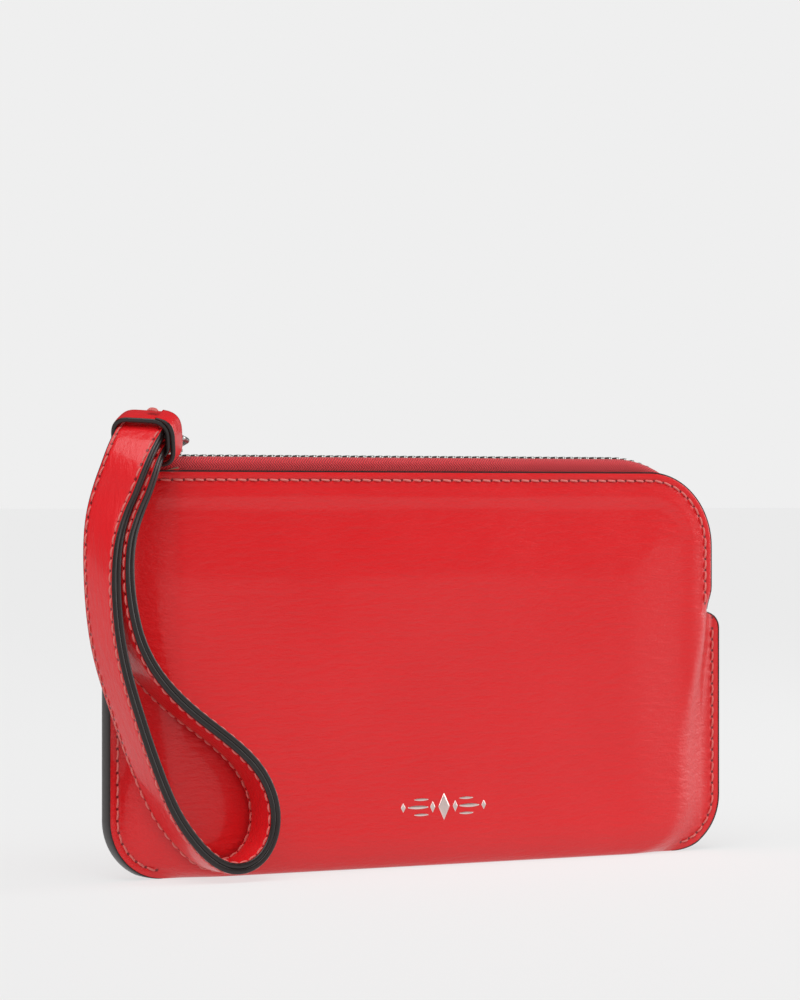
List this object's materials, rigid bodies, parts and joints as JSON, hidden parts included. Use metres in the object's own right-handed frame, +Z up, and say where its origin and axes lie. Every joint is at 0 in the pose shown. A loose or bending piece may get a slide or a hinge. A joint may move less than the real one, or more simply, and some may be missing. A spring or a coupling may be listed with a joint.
{
  "type": "wristlet wallet",
  "caption": "Leather wristlet pouch with an L-shaped zip, sewn seams, a sliding zip pull on a ring and a wrist strap loop held by a keeper.",
  "frame": {"origin": "on the floor under the middle of the bottom fold", "axes": "+X along the width towards the side zip, -Y to the front, +Z up"},
  "size_m": [0.2078, 0.0349, 0.1253],
  "materials": {
    "leather": "smooth glossy red leather with dark painted edges",
    "board": "stiff fibre board",
    "lining": "woven lining cloth",
    "tape": "woven zip tape, herringbone",
    "zip_metal": "polished zip metal",
    "ring_metal": "polished steel wire",
    "thread": "waxed thread"
  },
  "bodies": {
    "pouch": {"leather_shell": "leather", "front_stiffener": "board", "back_stiffener": "board", "front_lining": "lining", "back_lining": "lining", "zip_tape_front": "tape", "zip_tape_back": "tape", "zip_teeth_front": "zip_metal", "zip_teeth_back": "zip_metal", "zip_top_stops": "zip_metal", "zip_end_stop": "zip_metal", "zip_thread_front": "thread", "zip_thread_back": "thread", "left_seam_thread": "thread", "right_seam_thread": "thread"},
    "slider": {"slider_body": "zip_metal", "slider_bail": "zip_metal"},
    "ring": {"pull_ring": "ring_metal"},
    "strap": {"strap_outer_layer": "leather", "strap_inner_layer": "leather", "strap_thread_front": "thread", "strap_thread_back": "thread", "keeper_band": "leather", "keeper_tack": "thread"}
  },
  "joints": [
    {"name": "zip_slide", "type": "slide", "parent": "pouch", "child": "slider", "axis": [1, 0, 0], "range_m": [0, 0.1375], "deforming": ["zip_teeth_front", "zip_teeth_back"]},
    {"name": "ring_flip", "type": "hinge", "parent": "slider", "child": "ring", "pos_m": [-0.0793, 0, 0.11635], "axis": [-0.7054, 0.7054, 0.0698], "range_deg": [0, 100]},
    {"name": "strap_swing", "type": "hinge", "parent": "ring", "child": "strap", "pos_m": [-0.08814, -0.00904, 0.11834], "axis": [-0.7054, 0.7054, 0.0698], "range_deg": [0, 75]}
  ]
}
